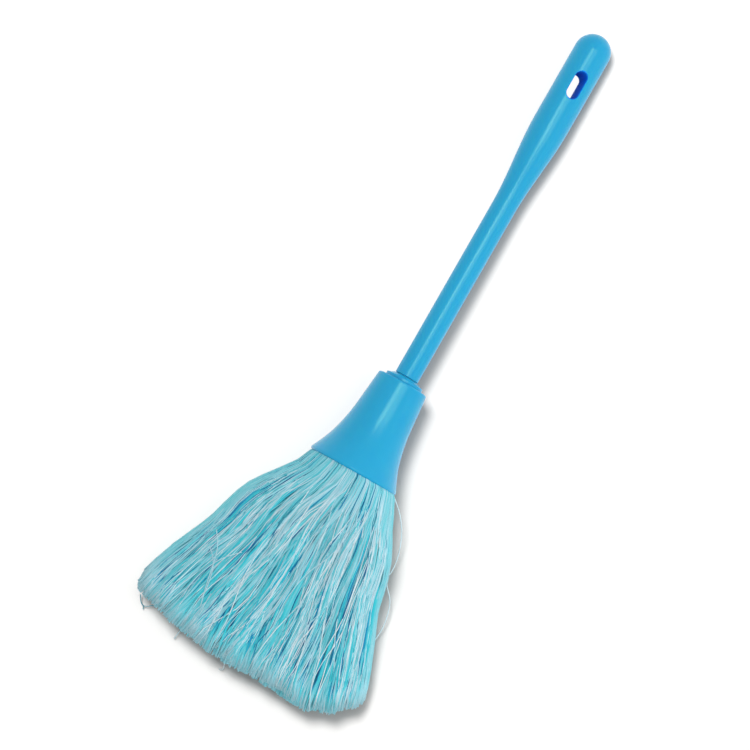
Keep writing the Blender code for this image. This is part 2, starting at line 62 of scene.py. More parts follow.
# Sizes of the bell. Its lip is a round that meets the flare LIP_ANGLE degrees above level
BELL_HEIGHT = 80.0 * MM
BELL_TOP_RADIUS = 21.1 * MM
BELL_WAIST_RADIUS = 24.0 * MM
BELL_MOUTH_RADIUS = 37.9 * MM
BELL_FLARE_HEIGHT = 50.0 * MM
BELL_WALL = 2.2 * MM
BELL_TOP_THICKNESS = 3.0 * MM
BELL_HOLE_RADIUS = 8.6 * MM
BELL_SHOULDER = 1.6 * MM
LIP_ROUND = 2.0 * MM
LIP_ANGLE = 25.0
LIP_SWELL = 1.1 * MM
LIP_SWELL_HEIGHT = 22.0 * MM
INNER_LIP_HEIGHT = 5.0 * MM

# Sizes of the collar ring
COLLAR_LOW = BELL_HEIGHT + GAP
COLLAR_HEIGHT = 4.6 * MM
COLLAR_EDGE_HEIGHT = 2.6 * MM
COLLAR_RADIUS = 15.8 * MM
COLLAR_BORE = 7.1 * MM
COLLAR_ROUND = 0.6 * MM
COLLAR_CHAMFER = 0.3 * MM

# Sizes of the handle, whose slot is turned a little about the axis
HANDLE_FOOT = COLLAR_LOW + COLLAR_HEIGHT + GAP
HANDLE_LENGTH = 310.6 * MM
HANDLE_TIP = HANDLE_FOOT + HANDLE_LENGTH
FOOT_CHAMFER = 0.6 * MM
SHAFT_RADIUS = 9.9 * MM
SHAFT_BORE = 7.7 * MM
SHAFT_BORE_TOP = HANDLE_FOOT + 30.0 * MM
GRIP_RADIUS = 14.9 * MM
GRIP_FOOT = HANDLE_TIP - 78.5 * MM
TAPER_LENGTH = 80.0 * MM
TAPER_FOOT = GRIP_FOOT - TAPER_LENGTH
SLOT_LENGTH = 23.5 * MM
SLOT_WIDTH = 10.0 * MM
SLOT_FROM_TIP = 34.2 * MM
SLOT_ROUND = 0.9 * MM
SLOT_ROLL = math.radians(9.0)

# How finely the mouldings are drawn: sides round the axis, points along stretches of their profiles, steps
# round their curves, and the angle in degrees past which an edge stays sharp
BELL_SIDES = 160
BELL_OUTSIDE_POINTS = 70
BELL_INSIDE_POINTS = 50
COLLAR_SIDES = 128
DOME_POINTS = 14
HANDLE_SIDES = 144
SHAFT_POINTS = 30
TAPER_POINTS = 40
GRIP_POINTS = 50
SLOT_SIDES = 96
LIP_STEPS = 16
SHOULDER_STEPS = 8
COLLAR_ROUND_STEPS = 6
TIP_STEPS = 24
SLOT_ROUND_POINTS = 9
SEAM_ANGLE = 40.0

# The stitched header of twelve slices that the strands start from, whose outer ones stop at HEADER_END,
# inside its rim. The mouth's room is what the yarn fills there, and past the lip it bulges
HEADER_ABOVE_MOUTH = 3.0 * MM
HEADER_THICKNESS = 7.0 * MM
HEADER_RADIUS = 28.3 * MM
HEADER_END = 28.2 * MM
SLICE_RIM_POINTS = 9
BACKING_TONE = 0.9
TUFT_COUNT = 12
ROOT_RADIUS = 24.5 * MM
ROOT_DEPTH = HEADER_ABOVE_MOUTH + 1 * MM
MOUTH_ROOM_RADIUS = 36.0 * MM
BULGE = 1.9 * MM
BULGE_REACH = 3.0 * MM

# The fan's outline and height along its reach from the mouth. It lies on the table from LAID_REACH on. Its
# furrows are shares of its height
FAN_LENGTH = 177.5 * MM
LAID_REACH = 54 * MM
DOME_POWER = 2.6
FAN_PLACES = np.array([0, 5, 11, 18, 25, 37, 50, 62, 81, 106, 131, 150, 160, 170, 178, 186]) * MM
FAN_HALF_WIDTHS = np.array([
    37.0, 39.4, 42.2, 46, 50.4, 58.2, 65.3, 69.5, 73.8, 84.2, 94.5, 101, 104, 107, 109.5, 112]) * MM
FAN_MIDDLES = np.array([
    0.4, 1.8, 1.4, 0.6, -0.4, -1.4, -2.4, -3, -3.3, -3.5, -3.5, -3.3, -3.3, -3, -2, -1]) * MM
FAN_CRESTS = np.array([
    73, 75.5, 76, 75, 73.5, 70.5, 67.5, 65, 61, 56, 50.5, 46.5, 44, 42, 40, 38]) * MM
FAN_SIDE_TOPS = np.array([39, 39, 39, 39, 38, 36, 33, 30, 26.5, 22, 18, 15, 13.5, 12, 11, 10]) * MM
FURROWS = np.array([0, 0, 0, 0, 1, 2, 3, 3, 4, 4, 5, 5, 5, 5, 5, 5]) / 100

# How far the strands reach at places across the fan, from its left side, -1, to its right, 1
END_PLACES = np.array([-1, -0.98, -0.93, -0.86, -0.7, -0.5, 0, 0.3, 0.5, 0.6, 0.7, 0.78, 0.86, 0.94, 1])
END_REACHES = np.array([
    149, 154, 160.5, 164.5, 168, 172.5, 177.5, 177.5, 179, 178.5, 175, 170.5, 164, 158, 150]) * MM

# Strands: points along them, of which three lie close together in the bell's mouth, and sides round them
ALONG = np.concatenate([[0, 0.021], np.linspace(0.034, 1, 14)])
STRAND_POINTS = len(ALONG)
STRAND_SIDES = 4
STRAND_SEED = 11
STRAY_RADIUS = 0.4 * MM

# Plies take this length for a turn, and start further round on a paler strand
PLY_TURN = 2.5 * MM
PLY_SHIFT = 7

# Scatter of locks round the section, and of strands about their locks, as shares of a lock's room. Strands
# draw together up to CLUMPED_FROM of their length, a lock that rises by its full lift loosens, and none
# rises out of the section by more than HIGHEST_LIFT of it
LOCK_SCATTER = 0.4
STRAND_SCATTER = 0.8
CLUMPED_FROM = 0.5
LOOSENING = 0.25
LEAST_LIFT = 0.1 * MM
HIGHEST_LIFT = 0.03

# How far locks end past or short of the end line, and single strands short of their lock
LOCK_ENDS = (-3.5 * MM, 2.5 * MM)
STRAND_END = 2 * MM

# Near the mouth, strands are no thicker than this and pale ones are darker with painted shade, up to these
# reaches
MOUTH_STRAND_RADIUS = 0.6 * MM
SLIM_REACH = 70 * MM
SHADED_REACH = 60 * MM
ROOT_SHADE = 0.35

# How strands wander: wavelengths in mm, each for whole locks and for single strands, and the shares by
# which a line's wavelengths and heights vary. A sway turns into an angle round the section when it is
# divided by SECTION_SIZE, which grows by SECTION_GROWTH to the end, and a lift into a share of the section
# by LIFT_SIZE. Within WALL_ANGLE of either side, a strand lies on the side wall
SWAY_WAVES = ((110, 190), (70, 130))
LIFT_WAVES = ((110, 200), (60, 110))
WAVE_LENGTHS = (0.75, 1.3)
WAVE_HEIGHTS = (0.4, 1.0)
SECTION_SIZE = 38 * MM
SECTION_GROWTH = 50 * MM
LIFT_SIZE = 30 * MM
WALL_ANGLE = 0.17

# Towards their ends, from these shares of the length on, strands fray, thin out, sink and turn pale
FRAY = 3.0 * MM
FRAY_FROM = 0.75
TIP_THINNING = 0.35
TIP_THINNING_FROM = 0.93
DROOP = 0.04
DROOP_FROM = 0.9
TIP_TONE = 0.88
TIP_PALING = 0.7
TIP_PALING_FROM = 0.85

# Tones wander along a strand by TONE_WANDER, and strands on the fan's flanks turn pale
TONE_WAVES = (40, 80)
TONE_WANDER = 0.16
SIDE_TONE = 0.72
SIDE_PALING = 0.65
SIDE_FROM = 0.88
SIDE_BAND = 0.1
SIDE_REACH = 80 * MM
SURFACE_DEPTH = 0.1

# Colours of the yarn by tone: muted teal for thin dark strands that are painted shade between the pale ones,
# the deep blue of dyed core yarn, darkened further as painted shade in the gaps between locks, aquas, and
# pale silver aqua
YARN_COLOURS = (
    (0.0, "#3FA3B5"), (0.1, "#0A5A92"), (0.25, "#249DC6"), (0.44, "#3CCBD8"), (0.63, "#78D1DE"),
    (0.82, "#B2DDEA"), (1.0, "#E4F2F7"),
)

# Layers of yarn: a thick core and heart, smooth ribbons, thinner strands on them, loose ones on top, and a
# filling of the heart. Depths are shares of the section, from its surface in. Thickness, sway, lift and
# turn are in mm. A tone is its lowest and highest value and its share of the strands
YARN_LAYERS = (
    {"count": 800, "locks": 60, "depths": (0.06, 0.26), "thickness": (3.0, 3.8),
     "tones": ((0.04, 0.14, 0.3), (0.2, 0.36, 0.7)),
     "clump": (0.0, 0.15), "sway": (3, 1), "lift": (0.5, 0.5), "turn": (4, 3), "kinship": 0.3},
    {"count": 320, "locks": 40, "depths": (0.25, 0.95), "thickness": (3.4, 4.2),
     "tones": ((0.2, 0.4, 1.0),),
     "clump": (0.0, 0.1), "sway": (2, 1), "lift": (0.5, 0.5), "turn": (4, 3), "kinship": 0.3},
    {"count": 900, "locks": 90, "depths": (0.02, 0.06), "thickness": (1.9, 2.5),
     "tones": ((0.1, 0.24, 0.16), (0.38, 0.56, 0.84)),
     "clump": (0.05, 0.25), "sway": (3.5, 0.8), "lift": (0.8, 0.4), "turn": (13, 4), "kinship": 0.5},
    {"count": 460, "locks": 64, "depths": (0.005, 0.03), "thickness": (1.2, 1.5),
     "tones": ((0.1, 0.22, 0.13), (0.42, 0.56, 0.4), (0.58, 0.74, 0.47)),
     "clump": (0.3, 0.8), "sway": (4, 1.2), "lift": (1.0, 0.5), "turn": (18, 6), "kinship": 0.4},
    # The darkest share of these fine strands is muted teal: painted shade lines between the pale strands
    {"count": 880, "locks": 60, "depths": (-0.015, 0.01), "thickness": (0.85, 1.05),
     "tones": ((-0.04, 0.1, 0.12), (0.56, 0.74, 0.44), (0.74, 0.9, 0.44)),
     "clump": (0.3, 0.8), "sway": (4.5, 1.4), "lift": (0.9, 0.5), "turn": (20, 8), "kinship": 0.35},
    {"count": 130, "locks": 95, "depths": (-0.03, 0.0), "thickness": (0.75, 0.95),
     "tones": ((0.9, 1.0, 1.0),),
     "clump": (0.0, 0.1), "sway": (5, 3), "lift": (0.5, 0.8), "turn": (24, 12), "kinship": 1.0},
    {"count": 160, "locks": 60, "depths": (0.25, 0.97), "thickness": (3.0, 3.8),
     "tones": ((0.2, 0.4, 1.0),),
     "clump": (0.0, 0.1), "sway": (2, 1), "lift": (0.5, 0.5), "turn": (4, 3), "kinship": 0.3},
)

# Single strands that have come away at the fan's edges or lie across it: tone, then places aside, reach
# from the mouth and height, in mm
STRAYS = (
    (1.0, ((37, -3, 34), (45, 3.5, 33), (53, 11, 28), (61.5, 23, 22), (67.5, 38, 16), (70, 52, 12),
           (68, 66, 10))),
    (1.0, ((69, 60, 10), (73, 66, 11), (79.7, 73.5, 12), (83.3, 82, 12), (86, 95, 10), (85.5, 109, 8))),
    (0.0, ((-70, 167, 8), (-80, 171, 6), (-84, 174, 5), (-86.7, 175.5, 4), (-86.1, 178, 3))),
    (0.0, ((-86.7, 175.5, 4), (-89, 174.6, 4.5), (-91, 172.5, 5.5), (-93.5, 168.5, 7))),
    (0.9, ((-51, 172, 9), (-52.3, 180, 6), (-53, 186, 3))),
    (1.0, ((-9.5, 176, 9), (-8.5, 183, 6), (-7.5, 187, 4), (-8.5, 189, 3), (-10.5, 189, 3))),
    (0.84, ((-66, 90, 52), (-60, 98, 55), (-56, 108, 54), (-52, 128, 50.5), (-47, 149, 47))),
    (0.84, ((-64, 104, 49), (-57, 111, 52), (-52.5, 120, 52), (-49.5, 136, 49.5), (-50, 143, 48))),
    (0.84, ((-40, 95, 61), (-50, 106, 57), (-57.5, 120, 51), (-62, 136, 45.5), (-63, 150, 42))),
    (0.84, ((24, 40, 71), (21, 62, 68), (12, 84, 64.5), (8, 108, 60), (9, 131, 55.5))),
)

# Camera, straight above the duster, in the photo's frame of PHOTO_SIZE pixels. The scale holds at the
# height PHOTO_LEVEL. The sensor's width is in mm
PHOTO_SIZE = 750
PIXELS_PER_METRE = 1269.3
CAMERA_HEIGHT = 2.05
PHOTO_LEVEL = 17.0 * MM
CAMERA_PLACE = (-18.7 * MM, -29.7 * MM)
CAMERA_ROLL = math.radians(29.8)
SENSOR_WIDTH = 36
VIEW_DEPTH = 20

# The table's size, where it turns plain white, and the spot seen through the slot, painted plain white over
# the duster's shadow as painted light: an ellipse's middle and half sizes, with its soft edge as shares of
# them
TABLE_SIZE = 16
PLAIN_FROM = 0.42
PLAIN_TO = 0.75
PAINTED_SLOT_LIGHT_MIDDLE = (3.8 * MM, 247.2 * MM)
PAINTED_SLOT_LIGHT_SIZE = (4.5 * MM, 12.0 * MM)
PAINTED_SLOT_LIGHT_EDGE = (0.9, 1.0)

# Light: what share of the walls' white falls on the object, and the lamps, each with its place, its width
# and length in metres, and its power in watts
WALL_LIGHT = 0.62
LAMPS = {
    "strip": ((-0.23, 0.68, 2.6), (0.64, 0.98), 14.5),
    "strip_flank": ((0.62, 0.68, 2.6), (1.0, 0.98), 9.5),
    "window": ((2.2, 0.2, 1.5), (1.3, 1.3), 18),
    "caster": ((-0.85, 0.62, 2.9), (0.8, 0.8), 182),
}

# Keeps a strand's half height at the fan's very edge above zero, because something is divided by it
TINY = 1e-6


# Curves and frames


def smooth(share):
    """An S curve from 0 to 1, 3s^2 - 2s^3, held at its ends."""
    share = np.clip(share, 0, 1)
    return share * share * (3 - 2 * share)


def eased(share):
    """Half a cosine wave from 0 to 1, held at its ends."""
    return (1 - np.cos(np.pi * np.clip(share, 0, 1))) / 2


def towards_end(share, start):
    """The S curve from 0 where a strand's share of length is start, to 1 at its end."""
    return smooth((share - start) / (1 - start))


def through(places, values, at):
    """A smooth line through a few points: between two, the cubic with slopes taken from their neighbours."""
    places, values, at = np.asarray(places), np.asarray(values), np.asarray(at)
    slopes = np.gradient(values, places)
    i = np.clip(np.searchsorted(places, at) - 1, 0, len(places) - 2)
    step = places[i + 1] - places[i]
    s = np.clip((at - places[i]) / step, 0, 1)
    rise = smooth(s)
    start = s * (1 - s) ** 2 * slopes[i] * step
    end = s * s * (1 - s) * slopes[i + 1] * step
    return values[i] * (1 - rise) + values[i + 1] * rise + start - end


def laid_down(points):
    """From the duster's frame to the table's: turned about X until +Z lies along the axis, and moved."""
    x, y, z = np.moveaxis(points, -1, 0)
    sine, cosine = math.sin(TILT), math.cos(TILT)
    return MOUTH + np.stack([x, -y * sine + z * cosine, -y * cosine - z * sine], -1)


def rolled(points, angle):
    """Turned about the duster's axis."""
    x, y, z = np.moveaxis(points, -1, 0)
    sine, cosine = math.sin(angle), math.cos(angle)
    return np.stack([x * cosine - y * sine, x * sine + y * cosine, z], -1)


# Meshes


def mesh_object(name, points, quads, triangles, seam_angle=SEAM_ANGLE):
    """An object of points (n, 3) and faces as rows of point numbers, smooth up to seam_angle degrees."""
    corners = np.concatenate([quads.ravel(), triangles.ravel()]).astype(np.int32)
    sizes = np.concatenate([np.full(len(quads), 4), np.full(len(triangles), 3)])
    mesh = bpy.data.meshes.new(name)
    mesh.vertices.add(len(points))
    mesh.vertices.foreach_set("co", np.asarray(points, np.float32).ravel())
    mesh.loops.add(len(corners))
    mesh.loops.foreach_set("vertex_index", corners)
    mesh.polygons.add(len(sizes))
    mesh.polygons.foreach_set("loop_start", (np.cumsum(sizes) - sizes).astype(np.int32))
    mesh.update(calc_edges=True)
    mesh.shade_smooth()
    if seam_angle:
        mesh.set_sharp_from_angle(angle=math.radians(seam_angle))
    thing = bpy.data.objects.new(name, mesh)
    bpy.context.scene.collection.objects.link(thing)
    return thing


def grid_faces(rows, columns, wrap_rows):
    """Quads between neighbours of a grid whose columns close on themselves, and whose rows may."""
    row_count = rows if wrap_rows else rows - 1
    i, j = np.meshgrid(np.arange(row_count), np.arange(columns), indexing="ij")
    near, far, after = i * columns, (i + 1) % rows * columns, (j + 1) % columns
    return np.stack([near + j, near + after, far + after, far + j], -1).reshape(-1, 4)


def end_caps(rings, sides):
    """Triangles from a grid's first and last ring to its two middle points, listed after the grid."""
    around = np.arange(sides)
    after = (around + 1) % sides
    last = (rings - 1) * sides
    middle = np.full(sides, rings * sides)
    first_cap = np.stack([after, around, middle], -1)
    last_cap = np.stack([last + around, last + after, middle + 1], -1)
    return np.concatenate([first_cap, last_cap])


def facing_out(points, *kinds):
    """The same faces, all of them reversed where the volume that they enclose is negative.

    Six times the volume is the sum of a . (b x c) over triangles that fan out from each first corner.
    """
    volume = 0
    for faces in kinds:
        for k in range(1, faces.shape[1] - 1):
            a, b, c = (points[faces[:, corner]] for corner in (0, k, k + 1))
            volume += np.einsum("ij,ij->", a, np.cross(b, c))
    return [faces[:, ::-1] if volume < 0 else faces for faces in kinds]


def turned(name, profile, sides):
    """A surface of revolution: the profile's points (radius, height) swept round the duster's axis.

    A profile that starts and ends on the axis is closed by its poles, any other by joining its ends.
    """
    profile = np.array(profile, float)
    has_poles = profile[0, 0] == 0 and profile[-1, 0] == 0
    angle = np.arange(sides) * TAU / sides
    radius, height = profile[:, :1], profile[:, 1:]
    points = np.stack([radius * np.cos(angle), radius * np.sin(angle), height + 0 * angle], -1)
    poles = points[[0, -1], 0]
    triangles = np.empty((0, 3), int)
    if has_poles:
        points = points[1:-1]
        triangles = end_caps(len(points), sides)
    quads = grid_faces(len(points), sides, not has_poles)
    points = points.reshape(-1, 3)
    if has_poles:
        points = np.concatenate([points, poles])
    quads, triangles = facing_out(points, quads, triangles)
    return mesh_object(name, laid_down(points), quads, triangles)


def arc(centre, radius, start, end, steps):
    """Points (radius, height) round a centre, between two angles in degrees."""
    angles = np.radians(np.linspace(start, end, steps + 1))
    return list(zip(centre[0] + radius * np.cos(angles), centre[1] + radius * np.sin(angles)))


def shown(thing, body, slot, *nodes):
    """Dresses a piece: it rides on a body and stands for the solids that it replaces. Its slot is not used.
    """
    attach(thing, body)
    if nodes:
        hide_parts(*nodes)


# Materials


def srgb(code):
    """A hex colour as linear red, green, blue and alpha."""
    parts = [int(code[k:k + 2], 16) / 255 for k in (1, 3, 5)]
    linear = [c / 12.92 if c <= 0.04045 else ((c + 0.055) / 1.055) ** 2.4 for c in parts]
    return (*linear, 1.0)


def fill(material, node, **values):
    """Fills a node's sockets, by name or by number as in _2, with constants or with other nodes' outputs."""
    for key, value in values.items():
        number = key[1:]
        socket = node.inputs[int(number)] if number.isdigit() else node.inputs[key.replace("_", " ")]
        if isinstance(value, bpy.types.NodeSocket):
            material.node_tree.links.new(value, socket)
        else:
            socket.default_value = value


def add_node(material, kind, settings=(), **values):
    """Adds a node to a material or to the world, sets its properties and fills its sockets."""
    node = material.node_tree.nodes.new(kind)
    for key, value in dict(settings).items():
        setattr(node, key, value)
    fill(material, node, **values)
    return node


def new_material(name):
    """A material and its shader."""
    material = bpy.data.materials.new(name)
    material.use_nodes = True
    return material, material.node_tree.nodes["Principled BSDF"]


def fine_grain(material, size, strength, depth, detail=3.0, roughness=0.5):
    """A surface's fine unevenness, with grains of a given size: the pattern, and the bump it makes."""
    place = add_node(material, "ShaderNodeTexCoord").outputs["Object"]
    pattern = add_node(material, "ShaderNodeTexNoise", Vector=place, Scale=1 / size, Detail=detail,
                       Roughness=roughness).outputs["Fac"]
    bump = add_node(material, "ShaderNodeBump", Height=pattern, Strength=strength, Distance=depth)
    return pattern, bump.outputs["Normal"]


def moulded_polypropylene():
    """Glossy polypropylene from a polished mould: an even blue, faint flow clouds, a slightly uneven skin.

    The clouds are 56 mm across. The skin's real grain is too fine to show, so it is drawn 2.2 mm across.
    """
    material, shader = new_material("moulded_polypropylene")
    place = add_node(material, "ShaderNodeTexCoord").outputs["Object"]
    clouds = add_node(material, "ShaderNodeTexNoise", Vector=place, Scale=1 / (55.56 * MM), Detail=2.0)
    blue = add_node(material, "ShaderNodeMix", {"data_type": "RGBA"}, _0=clouds.outputs["Fac"],
                    _6=srgb("#1FA0CF"), _7=srgb("#23A4D4"))
    skin, normal = fine_grain(material, 2.222 * MM, 0.12, 0.1 * MM, roughness=0.6)
    gloss = add_node(material, "ShaderNodeMapRange", Value=skin, To_Min=0.17, To_Max=0.24)
    fill(material, shader, Base_Color=blue.outputs[2], Roughness=gloss.outputs["Result"], Normal=normal,
         IOR=1.49, Specular_IOR_Level=0.42, Specular_Tint=srgb("#BCFFC4"), Subsurface_Weight=0.3,
         Subsurface_Scale=4 * MM, Subsurface_Radius=(0.2, 0.5, 1.0))
    return material


def slot_wall_painted_shade():
    """Painted shade on the slot's walls: the same polypropylene, painted a deeper blue where light comes
    only through the grip, with a duller skin.

    The skin's grain is drawn 2.2 mm across here too.
    """
    material, shader = new_material("slot_wall_painted_shade")
    skin, normal = fine_grain(material, 2.222 * MM, 0.12, 0.1 * MM, roughness=0.6)
    blue = add_node(material, "ShaderNodeMix", {"data_type": "RGBA"}, _0=skin, _6=srgb("#0A84EE"),
                    _7=srgb("#0C90F6"))
    fill(material, shader, Base_Color=blue.outputs[2], Normal=normal, Roughness=0.5, IOR=1.49,
         Specular_IOR_Level=0.15)
    return material


def natural_nylon():
    """Unpainted moulded nylon for the inner pieces: off-white, matt, a little translucent.

    Its grain is too fine to show, so it is drawn 3.3 mm across.
    """
    material, shader = new_material("natural_nylon")
    skin, normal = fine_grain(material, 3.333 * MM, 0.2, 0.1 * MM)
    white = add_node(material, "ShaderNodeMix", {"data_type": "RGBA"}, _0=skin, _6=srgb("#C6C9C6"),
                     _7=srgb("#D3D5D1"))
    fill(material, shader, Base_Color=white.outputs[2], Normal=normal, Roughness=0.48, IOR=1.53,
         Subsurface_Weight=0.1, Subsurface_Scale=2 * MM)
    return material


def metal_sheet(name, colour, roughness, grain, strength):
    """Metal whose gloss spreads a little more and less than its roughness along a fine grain."""
    material, shader = new_material(name)
    pattern, normal = fine_grain(material, grain, strength, 0.05 * MM, detail=4.0)
    spread = add_node(material, "ShaderNodeMapRange", Value=pattern, To_Min=roughness - 0.06,
                      To_Max=roughness + 0.06)
    fill(material, shader, Base_Color=srgb(colour), Metallic=1.0, Roughness=spread.outputs["Result"],
         Normal=normal)
    return material


def rolled_tinplate():
    """Tinned sheet steel, rolled: a grey satin. Its fine grain is drawn 1.1 mm across, so that it shows."""
    return metal_sheet("rolled_tinplate", "#C9CBCC", 0.34, 1.111 * MM, 0.2)


def bright_zinc_plate():
    """Zinc-plated, brightened steel: a clearer gloss. Its grain is drawn 0.7 mm across, so that it shows."""
    return metal_sheet("bright_zinc_plate", "#BFC3C4", 0.3, 0.6667 * MM, 0.1)


def split_microfiber():
    """Soft-spun split polyester yarn: matt and fuzzy, its plies wound round each other, tinted by strand.

    The tone attribute picks the colour from YARN_COLOURS. The UV map runs once round a strand, and along
    it once for each turn of the plies, PLY_TURN. The fuzz is finer than a tenth of that.
    """
    material, shader = new_material("split_microfiber")
    tone = add_node(material, "ShaderNodeAttribute", {"attribute_name": "tone"}).outputs["Fac"]
    uv = add_node(material, "ShaderNodeUVMap", {"uv_map": "strand"}).outputs["UV"]
    fuzz = add_node(material, "ShaderNodeTexNoise", Vector=uv, Scale=60.0, Detail=2.0).outputs["Fac"]
    shift = add_node(material, "ShaderNodeMath", {"operation": "MULTIPLY_ADD"}, _0=fuzz, _1=0.12, _2=-0.06)
    fuzzy = add_node(material, "ShaderNodeMath", {"operation": "ADD"}, _0=tone, _1=shift.outputs[0])
    ramp = add_node(material, "ShaderNodeValToRGB", Fac=fuzzy.outputs[0])
    stops = ramp.color_ramp.elements
    stops[0].color, stops[1].color = srgb(YARN_COLOURS[0][1]), srgb(YARN_COLOURS[-1][1])
    for position, code in YARN_COLOURS[1:-1]:
        stops.new(position).color = srgb(code)
    plies = add_node(material, "ShaderNodeTexWave", {"bands_direction": "DIAGONAL"}, Vector=uv, Scale=0.6,
                     Distortion=1.5, Detail=2.0)
    bump = add_node(material, "ShaderNodeBump", Height=plies.outputs["Fac"], Strength=0.35,
                    Distance=0.3 * MM)
    fill(material, shader, Base_Color=ramp.outputs["Color"], Normal=bump.outputs["Normal"], Roughness=0.85,
         IOR=1.5, Specular_IOR_Level=0.2, Sheen_Weight=0.6, Sheen_Roughness=0.4, Sheen_Tint=srgb("#BFF2F6"))
    return material


# Bell, collar ring and handle


def bell_radius(height):
    """The bell's outer radius: a cone, a parabola that flares below the waist, and a swell near the lip."""
    slope = (BELL_WAIST_RADIUS - BELL_TOP_RADIUS) / (BELL_HEIGHT - BELL_FLARE_HEIGHT)
    cone = BELL_TOP_RADIUS + slope * (BELL_HEIGHT - height)
    flare = BELL_MOUTH_RADIUS - BELL_TOP_RADIUS - slope * BELL_HEIGHT
    swell = LIP_SWELL * (1 - smooth(height / LIP_SWELL_HEIGHT))
    return cone + flare * np.clip(1 - height / BELL_FLARE_HEIGHT, 0, 1) ** 2 + swell


def bell():
    """Turned from its profile: a round lip, bell_radius up to a round shoulder, and the hole in the top.

    Inside, the top is level and the wall follows bell_radius less the wall's thickness.
    """
    lean = math.radians(LIP_ANGLE)
    outer = np.linspace(LIP_ROUND * (1 + math.sin(lean)), BELL_HEIGHT - BELL_SHOULDER, BELL_OUTSIDE_POINTS)
    edge = bell_radius(outer)
    lip = (edge[0] - LIP_ROUND * math.cos(lean), LIP_ROUND)
    shoulder = (edge[-1] - BELL_SHOULDER, BELL_HEIGHT - BELL_SHOULDER)
    under = BELL_HEIGHT - BELL_TOP_THICKNESS
    inner = np.linspace(under, INNER_LIP_HEIGHT, BELL_INSIDE_POINTS)
    profile = arc(lip, LIP_ROUND, -180, LIP_ANGLE, LIP_STEPS)[:-1]
    profile += list(zip(edge, outer))[:-1]
    profile += arc(shoulder, BELL_SHOULDER, 0, 90, SHOULDER_STEPS)
    profile += [(BELL_HOLE_RADIUS, BELL_HEIGHT), (BELL_HOLE_RADIUS, under)]
    profile += list(zip(bell_radius(inner) - BELL_WALL, inner))
    return turned("bell_shell", profile, BELL_SIDES)


def collar():
    """A disc: a straight edge, a fine round, and a top that rises to the shaft as half a cosine wave."""
    top = COLLAR_LOW + COLLAR_EDGE_HEIGHT
    crown = COLLAR_RADIUS - COLLAR_ROUND
    share = np.linspace(0, 1, DOME_POINTS)[1:]
    dome_radius = crown + (SHAFT_RADIUS - crown) * share
    dome_height = top + (COLLAR_HEIGHT - COLLAR_EDGE_HEIGHT) * eased(share)
    profile = [(COLLAR_BORE, COLLAR_LOW), (COLLAR_RADIUS - COLLAR_CHAMFER, COLLAR_LOW)]
    profile += [(COLLAR_RADIUS, COLLAR_LOW + COLLAR_CHAMFER)]
    profile += arc((crown, top - COLLAR_ROUND), COLLAR_ROUND, 0, 90, COLLAR_ROUND_STEPS)
    profile += list(zip(dome_radius, dome_height))
    profile += [(COLLAR_BORE, COLLAR_LOW + COLLAR_HEIGHT)]
    return turned("collar_disc", profile, COLLAR_SIDES)


def handle_radius(height):
    """The shaft, and over the taper half a cosine wave out to the grip."""
    return SHAFT_RADIUS + (GRIP_RADIUS - SHAFT_RADIUS) * eased((height - TAPER_FOOT) / TAPER_LENGTH)


def slot_cutter():
    """A tube through the grip in the slot's outline, which is two half circles joined by straight sides.

    One parameter runs round the outline, the other through the grip from skin to skin. Near both skins the
    outline spreads along a quarter circle, so that the slot's edges come out round, and past them further.
    """
    middle = HANDLE_TIP - SLOT_FROM_TIP - SLOT_LENGTH / 2
    straight = (SLOT_LENGTH - SLOT_WIDTH) / 2
    angle = (np.arange(SLOT_SIDES) + 0.5) * TAU / SLOT_SIDES
    aside, along = np.cos(angle), np.sin(angle)
    skin = np.sqrt(GRIP_RADIUS ** 2 - (SLOT_WIDTH / 2 * aside) ** 2)
    turn = np.linspace(0, np.pi / 2, SLOT_ROUND_POINTS)[::-1]
    depth = skin[None] - SLOT_ROUND * (1 - np.sin(turn))[:, None]
    spread = SLOT_ROUND * (1 - np.cos(turn))[:, None]
    radius = SLOT_WIDTH / 2 + np.concatenate([spread[:1] + SLOT_ROUND, spread])
    depth = np.concatenate([depth[:1] + SLOT_ROUND, depth])
    radius = np.concatenate([radius, radius[::-1]])
    depth = np.concatenate([-depth, depth[::-1]])
    height = middle + straight * np.sign(along) + radius * along
    rings = np.stack([radius * aside, depth, height], -1)
    middles = [[0, depth[0, 0], middle], [0, depth[-1, 0], middle]]
    points = np.concatenate([rings.reshape(-1, 3), middles])
    walls = grid_faces(len(rings), SLOT_SIDES, False)
    walls, caps = facing_out(points, walls, end_caps(len(rings), SLOT_SIDES))
    return mesh_object("slot_cutter", laid_down(rolled(points, SLOT_ROLL)), walls, caps)


